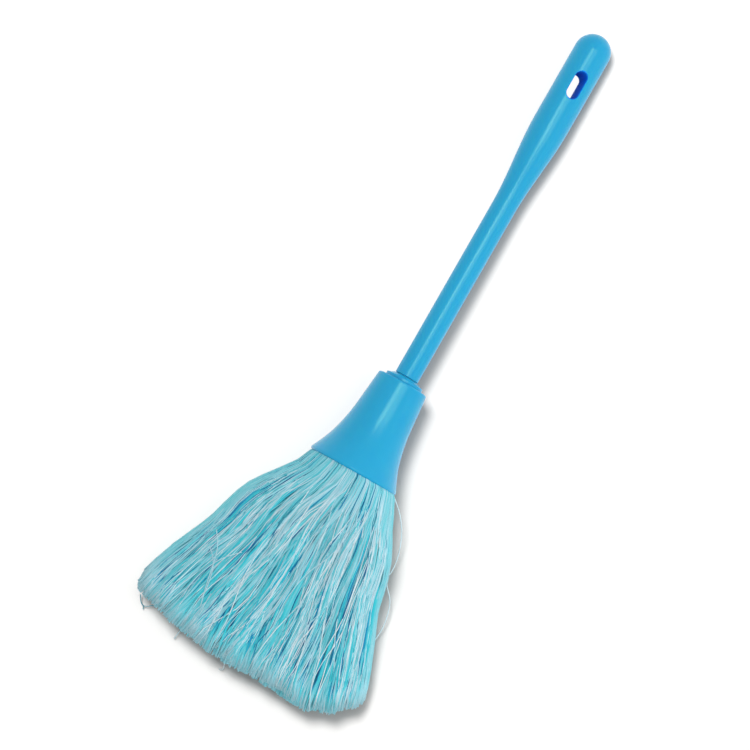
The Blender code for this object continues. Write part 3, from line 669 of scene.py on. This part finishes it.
def handle(plastic, slot_shade_plastic):
    """Foot, shaft, taper, grip and half a sphere at the tip, a bore in the foot, and the slot cut out."""
    height = np.concatenate([
        np.linspace(HANDLE_FOOT + FOOT_CHAMFER, TAPER_FOOT, SHAFT_POINTS),
        np.linspace(TAPER_FOOT, GRIP_FOOT, TAPER_POINTS)[1:],
        np.linspace(GRIP_FOOT, HANDLE_TIP - GRIP_RADIUS, GRIP_POINTS)[1:],
    ])
    profile = [(0, SHAFT_BORE_TOP), (SHAFT_BORE, SHAFT_BORE_TOP)]
    profile += [(SHAFT_BORE, HANDLE_FOOT), (SHAFT_RADIUS - FOOT_CHAMFER, HANDLE_FOOT)]
    profile += list(zip(handle_radius(height), height))
    profile += arc((0, HANDLE_TIP - GRIP_RADIUS), GRIP_RADIUS, 0, 90, TIP_STEPS)[1:-1]
    profile += [(0, HANDLE_TIP)]
    body = turned("handle_shell", profile, HANDLE_SIDES)
    cutter = slot_cutter()
    for thing in (body, cutter):
        thing.data.materials.append(plastic)
        thing.data.materials.append(slot_shade_plastic)
    # The slot's walls take the deeper blue of painted shade
    cutter.data.polygons.foreach_set("material_index", np.ones(len(cutter.data.polygons), np.int32))
    cut = body.modifiers.new("slot", "BOOLEAN")
    cut.operation, cut.solver, cut.object = "DIFFERENCE", "EXACT", cutter
    evaluated = body.evaluated_get(bpy.context.evaluated_depsgraph_get())
    mesh = bpy.data.meshes.new_from_object(evaluated)
    body.modifiers.clear()
    body.data = mesh
    mesh.shade_smooth()
    mesh.set_sharp_from_angle(angle=math.radians(SEAM_ANGLE))
    bpy.data.objects.remove(cutter)
    return body


# Yarn


class Chance:
    """Seeded draws, so that the yarn falls the same way each run."""

    def __init__(self, seed):
        self.draw = np.random.default_rng(seed)

    def between(self, low, high, *shape):
        """Even draws between two values, as many as the shape holds."""
        return self.draw.uniform(low, high, shape)

    def waves(self, count, along, lengths, size):
        """Smooth wandering of count lines: sums of sines whose wavelengths, in mm, and heights vary."""
        total = 0
        for wavelength in lengths:
            phase = self.between(0, TAU, count, 1)
            pitch = wavelength * MM * self.between(*WAVE_LENGTHS, count, 1)
            total = total + np.sin(TAU * along / pitch + phase) * self.between(*WAVE_HEIGHTS, count, 1)
        return size * total / len(lengths)


def fan_place(across, up, reach):
    """A point of the fan from its place across, -1 to 1, its place up its section, 0 to 1, and its reach.

    At the mouth the section is round and square to the duster's axis. Past it, the underside sinks to the
    table, the top is a dome 1 - |x|^p to the power 1/p with a shallow furrow between neighbouring tufts, and
    the width follows the fan's outline.
    """
    lying = smooth(reach / LAID_REACH)
    inside = smooth(-reach / ROOT_DEPTH)
    half_width = through(FAN_PLACES, FAN_HALF_WIDTHS, np.maximum(reach, 0))
    half_width = half_width + (ROOT_RADIUS - half_width) * inside
    round_half = MOUTH_ROOM_RADIUS + (ROOT_RADIUS - MOUTH_ROOM_RADIUS) * inside
    round_half = round_half + BULGE * smooth(reach / BULGE_REACH)
    circle = round_half * np.sqrt(np.clip(1 - across ** 2, 0, 1))
    dome = np.clip(1 - np.abs(across) ** DOME_POWER, 0, 1) ** (1 / DOME_POWER)
    crest = through(FAN_PLACES, FAN_CRESTS, reach)
    side = through(FAN_PLACES, FAN_SIDE_TOPS, reach)
    furrow = through(FAN_PLACES, FURROWS, reach) * (1 + np.cos(np.pi * TUFT_COUNT * (across + 1))) / 2
    low = (1 - lying) * (MOUTH[2] - circle)
    high = (1 - lying) * (MOUTH[2] + circle) + lying * (side + (crest - side) * dome) * (1 - furrow)
    height = low + (high - low) * up
    slant = (height - MOUTH[2]) * math.tan(TILT) * (1 - lying)
    aside = MOUTH[0] + through(FAN_PLACES, FAN_MIDDLES, reach) + half_width * across
    return np.stack([aside, MOUTH[1] - reach + slant, height], -1)


def strands(chance, count, locks, depths, thickness, tones, clump, sway, lift, turn, kinship):
    """Paths of many strands: each starts at its own place in the header and draws towards its lock's middle.

    A place is an angle round the section and a depth under its surface. Within WALL_ANGLE of either side, a
    strand lies on the fan's side wall. Locks and strands sway aside and rise along smooth waves, a lock is
    drawn tighter where it sinks, and turn leads whole locks and single strands aslant, which is how
    neighbours cross. Returns arrays: path (count, points, 3), radius, tone and across (count,).
    """
    shares = [share for _, _, share in tones]
    lock_angle = (np.arange(locks) + chance.between(-LOCK_SCATTER, LOCK_SCATTER, locks)) * TAU / locks
    lock_clump = chance.between(*clump, locks)
    lock_tone = chance.draw.choice(len(tones), locks, p=shares)
    of_lock = chance.draw.integers(0, locks, count)
    angle = lock_angle[of_lock] + chance.between(-STRAND_SCATTER, STRAND_SCATTER, count) * TAU / locks
    depth = chance.between(*depths, count)
    along = ALONG[None, :]
    run = along * FAN_LENGTH
    section = SECTION_SIZE + SECTION_GROWTH * along
    free = smooth(run / LAID_REACH)

    lock_sway = chance.waves(locks, run, SWAY_WAVES[0], sway[0] * MM)[of_lock]
    own_sway = chance.waves(count, run, SWAY_WAVES[1], sway[1] * MM)
    lock_lift = chance.waves(locks, run, LIFT_WAVES[0], lift[0] * MM)[of_lock]
    own_lift = chance.waves(count, run, LIFT_WAVES[1], lift[1] * MM)
    lock_turn = chance.between(-turn[0] * MM, turn[0] * MM, locks, 1)[of_lock]
    own_turn = chance.between(-turn[1] * MM, turn[1] * MM, count, 1)
    tightness = 1 - LOOSENING * lock_lift / (lift[0] * MM + LEAST_LIFT)
    drawn_in = lock_clump[of_lock][:, None] * smooth(along / CLUMPED_FROM) * tightness
    place = angle[:, None] + (lock_angle[of_lock] - angle)[:, None] * drawn_in
    fray = chance.between(-FRAY, FRAY, count, 1) * towards_end(along, FRAY_FROM)
    place = place + (lock_sway + own_sway + (lock_turn + own_turn) * along + fray) * free / section
    wide = np.clip(np.cos(place) / math.cos(WALL_ANGLE), -1, 1)
    wall = np.clip(np.abs(np.sin(place)) / math.sin(WALL_ANGLE), 0, 1)

    uneven = chance.between(*LOCK_ENDS, locks)[of_lock] - chance.between(0, STRAND_END, count)
    length = through(END_PLACES, END_REACHES, (1 - depth) * wide[:, -1]) + uneven
    reach = -ROOT_DEPTH + (length[:, None] + ROOT_DEPTH) * along
    end = reach / length[:, None]
    ring = 1 - np.maximum(depth[:, None] - (lock_lift + own_lift) * free / LIFT_SIZE, -HIGHEST_LIFT)
    across = np.clip(ring, 0, 1) * wide
    side = np.sqrt(np.clip(1 - across ** 2, TINY, 1))
    up = 0.5 + 0.5 * np.clip(ring * np.sin(place) / side, -1, 1 + HIGHEST_LIFT) * wall
    path = fan_place(across, up, reach)
    full = chance.between(thickness[0] * MM, thickness[1] * MM, count, 1) / 2
    radius = full - np.maximum(full - MOUTH_STRAND_RADIUS, 0) * (1 - smooth(run / SLIM_REACH))
    radius = radius * (1 - TIP_THINNING * towards_end(end, TIP_THINNING_FROM))
    path[..., 2] *= 1 - DROOP * np.clip((end - DROOP_FROM) / (1 - DROOP_FROM), 0, 1) ** 2
    path[..., 2] = np.maximum(path[..., 2], radius)

    own_tone = chance.draw.choice(len(tones), count, p=shares)
    which = np.where(chance.between(0, 1, count) < kinship, lock_tone[of_lock], own_tone)
    low, high, _ = np.array(tones)[which].T
    tone = (low + (high - low) * chance.between(0, 1, count))[:, None]
    # Painted shade: pale strands are darker near the bell's mouth
    tone = tone - ROOT_SHADE * np.clip(tone - 0.5, 0, 1) * (1 - smooth(run / SHADED_REACH))
    tone = tone + chance.waves(count, run, TONE_WAVES, TONE_WANDER)
    flank = smooth((np.abs(wide) - SIDE_FROM) / SIDE_BAND) * smooth(run / SIDE_REACH)
    on_surface = (depth < SURFACE_DEPTH)[:, None]
    tone = tone + (SIDE_TONE - tone) * SIDE_PALING * flank * on_surface
    tone = tone + (TIP_TONE - tone) * TIP_PALING * towards_end(end, TIP_PALING_FROM)
    return {"path": path, "radius": radius, "tone": tone, "across": (1 - depth) * np.cos(angle)}


def stray_strands():
    """The strays' smooth paths through their places, for strand_mesh."""
    share = np.linspace(0, 1, STRAND_POINTS)
    paths = []
    for _, places in STRAYS:
        knots = np.linspace(0, 1, len(places))
        aside, reach, height = (through(knots, values, share) for values in np.array(places).T * MM)
        paths.append(np.stack([aside, MOUTH[1] - reach, height], -1))
    tone = np.array([tone for tone, _ in STRAYS])[:, None] + np.zeros(STRAND_POINTS)
    return {"path": np.array(paths), "radius": np.full(tone.shape, STRAY_RADIUS), "tone": tone}


def backing_slice(number):
    """A tuft's slice of the round header: a band of the disc between two straight cuts, made thick."""
    width = 2 * ROOT_RADIUS / TUFT_COUNT
    left = -HEADER_END if number == 0 else -ROOT_RADIUS + number * width + GAP / 2
    right = HEADER_END if number == TUFT_COUNT - 1 else -ROOT_RADIUS + (number + 1) * width - GAP / 2
    angle = np.linspace(*np.arccos(np.array([left, right]) / HEADER_RADIUS), SLICE_RIM_POINTS)
    rim = HEADER_RADIUS * np.stack([np.cos(angle), np.sin(angle)], -1)
    outline = np.concatenate([rim, rim[::-1] * (1, -1)])
    count = len(outline)
    levels = (HEADER_ABOVE_MOUTH, HEADER_ABOVE_MOUTH + HEADER_THICKNESS)
    rings = [np.column_stack([outline, np.full(count, level)]) for level in levels]
    middles = [[outline[:, 0].mean(), 0, level] for level in levels]
    points = np.concatenate([*rings, middles])
    walls, caps = facing_out(points, grid_faces(2, count, False), end_caps(2, count))
    return laid_down(points), walls, caps


def strand_mesh(name, group, twist, backing):
    """Square tubes round the paths, closed at both ends, and after them the tuft's backing slice, if any.

    Each point of a path has a ring of four corners, square to the path and turned by the strand's twist. The
    UV map runs round the strand and along it in turns of the plies.
    """
    path, radius = group["path"], group["radius"]
    count, points = path.shape[:2]
    tangent = np.gradient(path, axis=1)
    tangent /= np.linalg.norm(tangent, axis=-1, keepdims=True)
    level = np.cross(tangent, np.array([0.0, 0.0, 1.0]))
    level /= np.linalg.norm(level, axis=-1, keepdims=True)
    rising = np.cross(level, tangent)
    corner = np.arange(STRAND_SIDES) * TAU / STRAND_SIDES + twist[:, None, None]
    ring = level[:, :, None] * np.cos(corner)[..., None] + rising[:, :, None] * np.sin(corner)[..., None]
    vertices = (path[:, :, None] + radius[:, :, None, None] * ring).reshape(-1, 3)

    around = np.arange(STRAND_SIDES)
    strand, point, side = np.meshgrid(np.arange(count), np.arange(points - 1), around, indexing="ij")
    after = (side + 1) % STRAND_SIDES
    near = (strand * points + point) * STRAND_SIDES
    far = near + STRAND_SIDES
    walls = np.stack([far + side, far + after, near + after, near + side], -1).reshape(-1, 4)
    first = np.arange(count)[:, None] * points * STRAND_SIDES
    roots = first + around
    tips = first + (points - 1) * STRAND_SIDES + around[::-1]

    steps = np.linalg.norm(np.diff(path, axis=1), axis=-1)
    run = np.concatenate([np.zeros((count, 1)), np.cumsum(steps, axis=1)], 1)
    far_run, near_run = run[strand, point + 1], run[strand, point]
    u = np.stack([side, side + 1, side + 1, side], -1).ravel() / STRAND_SIDES
    v = np.stack([far_run, far_run, near_run, near_run], -1).ravel() / PLY_TURN
    shift = np.repeat(group["tone"][:, 0] * PLY_SHIFT, (points - 1) * STRAND_SIDES * 4)
    extra, slice_walls, slice_caps = backing
    quads = np.concatenate([walls, roots, tips, slice_walls + len(vertices)])
    triangles = slice_caps + len(vertices)
    uv = np.zeros((quads.size + triangles.size, 2))
    uv[:walls.size] = np.stack([u, v + shift], -1)
    tone = np.repeat(group["tone"].ravel(), STRAND_SIDES)
    tone = np.concatenate([tone, np.full(len(extra), BACKING_TONE)])

    thing = mesh_object(name, np.concatenate([vertices, extra]), quads, triangles, seam_angle=0)
    layer = thing.data.uv_layers.new(name="strand")
    layer.uv.foreach_set("vector", uv.astype(np.float32).ravel())
    attribute = thing.data.attributes.new("tone", "FLOAT", "POINT")
    attribute.data.foreach_set("value", tone.astype(np.float32))
    return thing


def yarn():
    """All the yarn. A strand belongs to the tuft in whose slice of the header it starts."""
    chance = Chance(STRAND_SEED)
    layers = [strands(chance, **layer) for layer in YARN_LAYERS]
    every = {key: np.concatenate([layer[key] for layer in layers]) for key in layers[0]}
    tuft = np.clip(((every["across"] + 1) / 2 * TUFT_COUNT).astype(int), 0, TUFT_COUNT - 1)
    material = split_microfiber()
    for number in range(TUFT_COUNT):
        mine = {key: values[tuft == number] for key, values in every.items()}
        twist = chance.between(0, TAU, len(mine["across"]))
        thing = strand_mesh(f"yarn_{number + 1:02d}", mine, twist, backing_slice(number))
        thing.data.materials.append(material)
        shown(thing, "head", "microfiber_yarn", f"yarn_tuft_{number + 1:02d}")
    no_backing = (np.empty((0, 3)), np.empty((0, 4), int), np.empty((0, 3), int))
    stray = strand_mesh("stray_yarn", stray_strands(), chance.between(0, TAU, len(STRAYS)), no_backing)
    stray.data.materials.append(material)
    shown(stray, "head", "microfiber_yarn")


# Table, lamps and camera


def seen_by_eye(material, rays):
    """1 where the camera sees a surface directly, in gloss or through glass, 0 for light on the object."""
    seen = rays.outputs["Is Camera Ray"]
    for kind in ("Is Glossy Ray", "Is Transmission Ray"):
        larger = add_node(material, "ShaderNodeMath", {"operation": "MAXIMUM"}, _0=seen,
                          _1=rays.outputs[kind])
        seen = larger.outputs[0]
    return seen


def white_table():
    """Matt white laminate: near the duster it takes light and shadow, further out it is seen as plain white.

    The spot seen through the slot is plain white too: painted light over the duster's shadow, for camera
    rays.
    """
    material, shader = new_material("white_table")
    fill(material, shader, Base_Color=srgb("#AAA9A8"), Roughness=1.0, Specular_IOR_Level=0.0)
    place = add_node(material, "ShaderNodeTexCoord").outputs["Object"]
    distance = add_node(material, "ShaderNodeVectorMath", {"operation": "LENGTH"}, _0=place)
    far = add_node(material, "ShaderNodeMapRange", {"interpolation_type": "SMOOTHSTEP"},
                   Value=distance.outputs["Value"], From_Min=PLAIN_FROM, From_Max=PLAIN_TO)
    rays = add_node(material, "ShaderNodeLightPath")
    # Painted light: the spot under the slot turns white for camera rays, over the duster's shadow
    (x, y), (half_x, half_y) = PAINTED_SLOT_LIGHT_MIDDLE, PAINTED_SLOT_LIGHT_SIZE
    from_spot = add_node(material, "ShaderNodeMapping", Vector=place, Location=(-x / half_x, -y / half_y, 0),
                         Scale=(1 / half_x, 1 / half_y, 1))
    off_spot = add_node(material, "ShaderNodeVectorMath", {"operation": "LENGTH"},
                        _0=from_spot.outputs["Vector"])
    in_painted_light = add_node(material, "ShaderNodeMapRange", Value=off_spot.outputs["Value"],
                       From_Min=PAINTED_SLOT_LIGHT_EDGE[0], From_Max=PAINTED_SLOT_LIGHT_EDGE[1], To_Min=1.0, To_Max=0.0)
    spot = add_node(material, "ShaderNodeMath", {"operation": "MULTIPLY"}, _0=in_painted_light.outputs["Result"],
                    _1=rays.outputs["Is Camera Ray"])
    plain = add_node(material, "ShaderNodeMath", {"operation": "MULTIPLY_ADD"}, _0=far.outputs["Result"],
                     _1=seen_by_eye(material, rays), _2=spot.outputs[0])
    glow = add_node(material, "ShaderNodeEmission", Color=srgb("#FFFFFF"), Strength=1.0)
    mixed = add_node(material, "ShaderNodeMixShader", _0=plain.outputs[0], _1=shader.outputs[0],
                     _2=glow.outputs[0])
    fill(material, material.node_tree.nodes["Material Output"], Surface=mixed.outputs[0])
    return material


def table():
    """The white table that the duster lies on."""
    bpy.ops.mesh.primitive_plane_add(size=TABLE_SIZE)
    floor = bpy.context.object
    floor.name = "table"
    floor.data.materials.append(white_table())
    return floor


def area_lamp(name, place, size, power):
    """A soft box: a rectangle of light at a place, facing the duster's middle."""
    lamp = bpy.data.lights.new(name, "AREA")
    lamp.shape = "RECTANGLE"
    lamp.size, lamp.size_y = size
    lamp.energy = power
    thing = bpy.data.objects.new(name, lamp)
    bpy.context.scene.collection.objects.link(thing)
    thing.location = place
    thing.rotation_euler = (-Vector(place)).to_track_quat("-Z", "Y").to_euler()
    return thing


def studio_walls():
    """White walls all round: seen as plain white, and dimmer as light on the object."""
    world = bpy.data.worlds.new("studio")
    bpy.context.scene.world = world
    world.use_nodes = True
    seen = seen_by_eye(world, add_node(world, "ShaderNodeLightPath"))
    strength = add_node(world, "ShaderNodeMapRange", Value=seen, To_Min=WALL_LIGHT, To_Max=1.0)
    fill(world, world.node_tree.nodes["Background"], Color=srgb("#FFFFFF"),
         Strength=strength.outputs["Result"])


def lamps(floor):
    """Two strips that shine along the mouldings, a side window, and a lamp for the table's shadow alone."""
    lit = {name: area_lamp(name, *values) for name, values in LAMPS.items()}
    lit["window"].visible_glossy = False
    only_floor = bpy.data.collections.new("table_light")
    only_floor.objects.link(floor)
    lit["caster"].light_linking.receiver_collection = only_floor


def camera():
    """Straight above the duster, at the photo's scale, turned so that the grip points to the upper right."""
    lens = bpy.data.cameras.new("camera")
    lens.sensor_width = SENSOR_WIDTH
    focal_pixels = PIXELS_PER_METRE * (CAMERA_HEIGHT - PHOTO_LEVEL)
    lens.lens = lens.sensor_width * focal_pixels / PHOTO_SIZE
    lens.clip_end = VIEW_DEPTH
    thing = bpy.data.objects.new("camera", lens)
    thing.location = (*CAMERA_PLACE, CAMERA_HEIGHT)
    thing.rotation_euler = (0, 0, CAMERA_ROLL)
    bpy.context.scene.collection.objects.link(thing)
    bpy.context.scene.camera = thing


def mouldings():
    """The bell, collar ring and handle, and finishes for the inner pieces, which keep their solids."""
    plastic = moulded_polypropylene()
    for thing, body, node in ((bell(), "head", "bell_socket"), (collar(), "collar", "collar_ring")):
        thing.data.materials.append(plastic)
        shown(thing, body, "blue_plastic", node)
    shown(handle(plastic, slot_wall_painted_shade()), "handle", "blue_plastic", "handle")
    finishes = (
        (natural_nylon(), ("threaded_spigot", "threaded_bush", "yarn_hub")),
        (rolled_tinplate(), ("ferrule",)),
        (bright_zinc_plate(), ("hub_screw_1", "hub_screw_2", "hub_screw_3")),
    )
    for material, nodes in finishes:
        for node in nodes:
            thing = frame["nodes"][node]
            thing.data.materials.clear()
            thing.data.materials.append(material)


mouldings()
yarn()
studio_walls()
lamps(table())
camera()
bpy.context.scene.view_settings.view_transform = "Standard"
